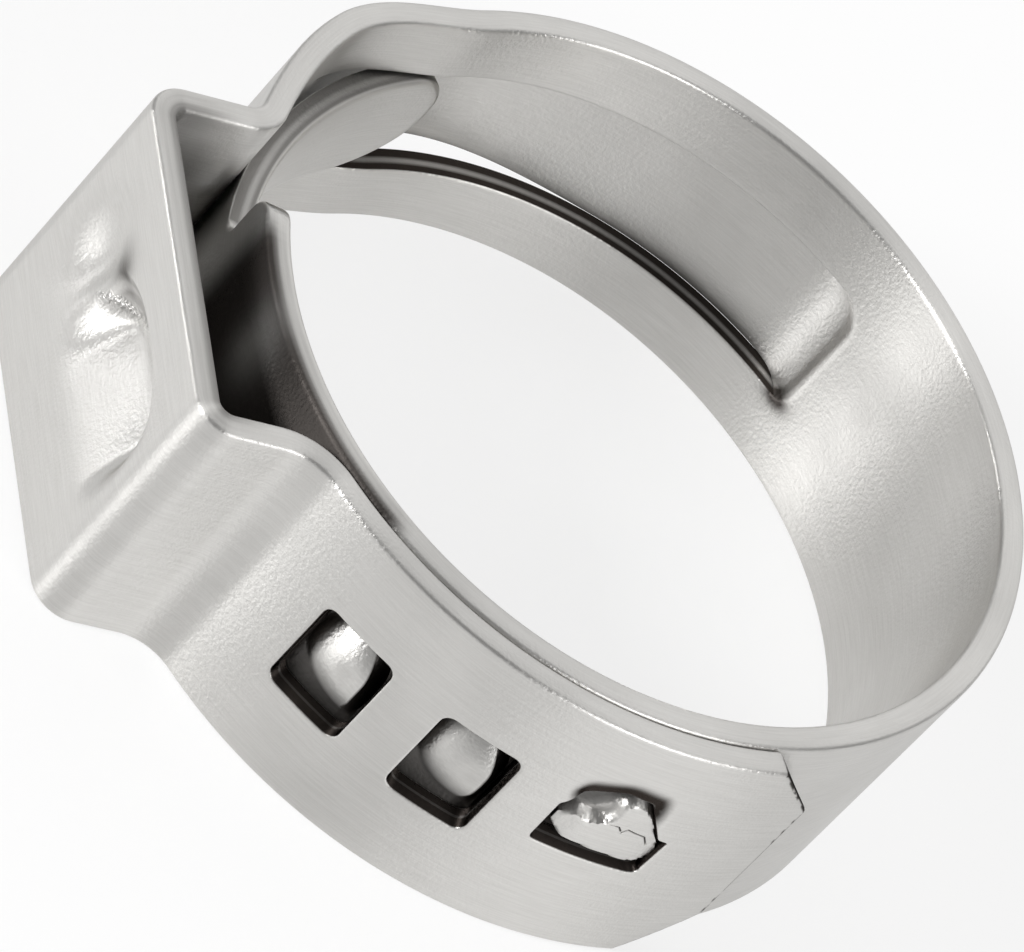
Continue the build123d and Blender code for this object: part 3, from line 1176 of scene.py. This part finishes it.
def satin_steel():
    steel = bpy.data.materials.new("satin_stainless_steel")
    steel.use_nodes = True
    nodes = steel.node_tree.nodes
    link = steel.node_tree.links.new
    shader = nodes["Principled BSDF"]
    shader.inputs["Metallic"].default_value = 1.0
    shader.inputs["Anisotropic"].default_value = 0.85
    shader.inputs["Anisotropic Rotation"].default_value = 0.25
    link(attribute(nodes, "grain").outputs["Vector"], shader.inputs["Tangent"])
    # Rolling grain runs along the strip.
    stretched = nodes.new("ShaderNodeMapping")
    stretched.inputs["Scale"].default_value = GRAIN_STRETCH
    grain = noise(nodes, 1.0, 4.0)
    link(attribute(nodes, "strip_place").outputs["Vector"], stretched.inputs["Vector"])
    link(stretched.outputs[0], grain.inputs["Vector"])
    # Handling clouds and fine pits.
    place = nodes.new("ShaderNodeTexCoord")
    cloud = noise(nodes, CLOUDS, 3.0)
    pits = noise(nodes, PITS, 2.0)
    link(place.outputs["Object"], cloud.inputs["Vector"])
    link(place.outputs["Object"], pits.inputs["Vector"])
    # The torn edges and painted shade are dark, with a painted highlight as a paler band along their
    # middle.
    torn_and_painted_shade = attribute(nodes, "torn_and_painted_shade")
    parts = nodes.new("ShaderNodeSeparateXYZ")
    offset = math_node(nodes, "ADD", 0.02)
    across = math_node(nodes, "ABSOLUTE")
    painted_highlight_band = ranged(nodes, 0.03, 0.11, 0.55, 1.0)
    wear_and_shade = math_node(nodes, "MULTIPLY")
    wear_and_shade.use_clamp = True
    link(attribute(nodes, "strip_place").outputs["Vector"], parts.inputs[0])
    link(parts.outputs["Z"], offset.inputs[0])
    link(offset.outputs[0], across.inputs[0])
    link(across.outputs[0], painted_highlight_band.inputs["Value"])
    link(torn_and_painted_shade.outputs["Fac"], wear_and_shade.inputs[0])
    link(painted_highlight_band.outputs[0], wear_and_shade.inputs[1])
    # Colour: pale steel with faint grain, dark on the torn edges, stains and painted shade.
    tone = colour_mix(nodes, DARKER_STEEL, PALER_STEEL)
    spread = ranged(nodes, 0.3, 0.7, 0.0, 1.0)
    link(grain.outputs["Fac"], spread.inputs["Value"])
    link(spread.outputs[0], tone.inputs["Factor"])
    darkening = colour_mix(nodes, WHITE, STAIN_AND_SHADE)
    link(wear_and_shade.outputs[0], darkening.inputs["Factor"])
    link(tone.outputs["Result"], darkening.inputs["A"])
    link(darkening.outputs["Result"], shader.inputs["Base Color"])
    # Metal painted dark for stains and shade stays dark at a glancing angle too.
    glance = colour_mix(nodes, WHITE, STAIN_AND_SHADE_GLANCE)
    link(wear_and_shade.outputs[0], glance.inputs["Factor"])
    link(glance.outputs["Result"], shader.inputs["Specular Tint"])
    # Roughness: satin, cloudy, and rougher on the torn edges.
    satin = ranged(nodes, 0.3, 0.7, 0.32, 0.44)
    rough = math_node(nodes, "MULTIPLY_ADD", 0.15)
    link(cloud.outputs["Fac"], satin.inputs["Value"])
    link(wear_and_shade.outputs[0], rough.inputs[0])
    link(satin.outputs[0], rough.inputs[2])
    link(rough.outputs[0], shader.inputs["Roughness"])
    # Relief: fine grain lines, the crumpled crease of the ear's dimple, and pits.
    lines = relief(nodes, 0.04, FINE_RELIEF)
    link(grain.outputs["Fac"], lines.inputs["Height"])
    folds = noise(nodes, FOLDS, 2.0)
    link(place.outputs["Object"], folds.inputs["Vector"])
    height = math_node(nodes, "MULTIPLY")
    link(folds.outputs["Fac"], height.inputs[0])
    link(attribute(nodes, "crumpled").outputs["Fac"], height.inputs[1])
    crumple = relief(nodes, 1.0, FOLD_RELIEF)
    link(height.outputs[0], crumple.inputs["Height"])
    link(lines.outputs[0], crumple.inputs["Normal"])
    speckle = relief(nodes, 0.5, FINE_RELIEF)
    link(pits.outputs["Fac"], speckle.inputs["Height"])
    link(crumple.outputs[0], speckle.inputs["Normal"])
    link(speckle.outputs[0], shader.inputs["Normal"])
    return steel


# ---- the studio

# Where the camera looks, how far away it is, its angles, its roll and its lens.
TARGET = Vector((-0.0605, 0.9333, 2.7311)) * MM
DISTANCE = 205.634 * MM
AZIMUTH = 228.8185
ELEVATION = 40.644
ROLL = 43.3632
LENS = 336.1
SENSOR = 36

# The share of the floor that is plain white to the camera, and to mirroring metal.
SEEN_WHITE = 0.75
MIRRORED_WHITE = 0.58

# The floor's colour, half its side in metres, and how far below the rim it lies in
# millimetres.
FLOOR_COLOUR = (0.93, 0.93, 0.93, 1)
FLOOR_HALF = 1.5
FLOOR_DROP = 0.02

# How strongly the room shines level with the clamp, and from above.
ROOM_LOW = 0.35
ROOM_HIGH = 0.25

# How far every lamp stands from the clamp, in metres.
LAMP_DISTANCE = 0.6

# Each lamp's azimuth and elevation, its size in metres and its radiance.
LAMPS = (
    ("rim_light", 48.8, 45, (0.8, 0.8), 0.74),
    ("ear_light", 144, 12, (0.14, 0.12), 9.0),
    ("inner_light", 184, 25, (0.2, 0.12), 37.0),
    ("back_light", 288, 28, (0.42, 0.3), 4.2),
)


def bearing(azimuth, elevation):
    # The direction in which the camera or a lamp stands, seen from the clamp.
    a = math.radians(azimuth)
    e = math.radians(elevation)
    return Vector((math.sin(a) * math.cos(e), -math.cos(a) * math.cos(e), math.sin(e)))


def add_camera():
    a = math.radians(AZIMUTH)
    back = bearing(AZIMUTH, ELEVATION)
    level = Vector((math.cos(a), math.sin(a), 0))
    upright = back.cross(level)
    lean = math.radians(ROLL)
    right = level * math.cos(lean) + upright * math.sin(lean)
    up = upright * math.cos(lean) - level * math.sin(lean)
    turn = Matrix((right, up, back)).transposed().to_4x4()
    data = bpy.data.cameras.new("camera")
    data.lens = LENS
    data.sensor_fit = "HORIZONTAL"
    data.sensor_width = SENSOR
    data.clip_start = 0.01
    data.clip_end = 10
    camera = bpy.data.objects.new("camera", data)
    camera.matrix_world = Matrix.Translation(TARGET + back * DISTANCE) @ turn
    bpy.context.scene.collection.objects.link(camera)
    bpy.context.scene.camera = camera


def add_light(name, azimuth, elevation, size, radiance):
    # A card of light that faces the clamp.
    back = bearing(azimuth, elevation)
    data = bpy.data.lights.new(name, "AREA")
    data.shape = "RECTANGLE"
    data.size, data.size_y = size
    data.energy = radiance * math.pi * size[0] * size[1]
    light = bpy.data.objects.new(name, data)
    light.rotation_euler = back.to_track_quat("Z", "Y").to_euler()
    light.location = back * LAMP_DISTANCE + Vector((0, 0, HALF_WIDTH * MM))
    bpy.context.scene.collection.objects.link(light)


def pale_floor():
    # A matt pale floor that reads almost white to the camera and keeps the shadow.
    material = bpy.data.materials.new("pale_floor")
    material.use_nodes = True
    nodes = material.node_tree.nodes
    link = material.node_tree.links.new
    nodes.remove(nodes["Principled BSDF"])
    matt = nodes.new("ShaderNodeBsdfDiffuse")
    matt.inputs["Color"].default_value = FLOOR_COLOUR
    white = nodes.new("ShaderNodeEmission")
    rays = nodes.new("ShaderNodeLightPath")
    seen = math_node(nodes, "MULTIPLY", SEEN_WHITE)
    mirrored = math_node(nodes, "MAXIMUM")
    glint = math_node(nodes, "MULTIPLY", MIRRORED_WHITE)
    share = math_node(nodes, "ADD")
    mixed = nodes.new("ShaderNodeMixShader")
    link(rays.outputs["Is Camera Ray"], seen.inputs[0])
    link(rays.outputs["Is Glossy Ray"], mirrored.inputs[0])
    link(rays.outputs["Is Transmission Ray"], mirrored.inputs[1])
    link(mirrored.outputs[0], glint.inputs[0])
    link(seen.outputs[0], share.inputs[0])
    link(glint.outputs[0], share.inputs[1])
    link(share.outputs[0], mixed.inputs[0])
    link(matt.outputs[0], mixed.inputs[1])
    link(white.outputs[0], mixed.inputs[2])
    link(mixed.outputs[0], nodes["Material Output"].inputs["Surface"])
    mesh = bmesh.new()
    bmesh.ops.create_grid(mesh, x_segments=1, y_segments=1, size=FLOOR_HALF)
    data = bpy.data.meshes.new("floor")
    mesh.to_mesh(data)
    mesh.free()
    floor = bpy.data.objects.new("floor", data)
    data.materials.append(material)
    # It lies a hair below the rim, so that the two faces don't coincide.
    for corner in data.vertices:
        corner.co.z = -FLOOR_DROP * MM
    bpy.context.scene.collection.objects.link(floor)


def studio_world():
    # A dim even room, a little brighter low down.
    world = bpy.data.worlds.new("studio")
    bpy.context.scene.world = world
    world.use_nodes = True
    nodes = world.node_tree.nodes
    link = world.node_tree.links.new
    direction = nodes.new("ShaderNodeTexCoord")
    parts = nodes.new("ShaderNodeSeparateXYZ")
    strength = ranged(nodes, 0.0, 1.0, ROOM_LOW, ROOM_HIGH)
    nodes["Background"].inputs["Color"].default_value = WHITE
    link(direction.outputs["Generated"], parts.inputs[0])
    link(parts.outputs["Z"], strength.inputs["Value"])
    link(strength.outputs[0], nodes["Background"].inputs["Strength"])


# Edges that bend by more degrees than this stay crisp.
CREASE_ANGLE = 38

steel = satin_steel()
band = rolled_band(steel)
sharpen(band.data, CREASE_ANGLE)
even_shading(band)
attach(band, "root")
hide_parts("clamp_band")

pale_floor()
studio_world()
add_camera()
for lamp in LAMPS:
    add_light(*lamp)
bpy.context.scene.view_settings.view_transform = "Standard"
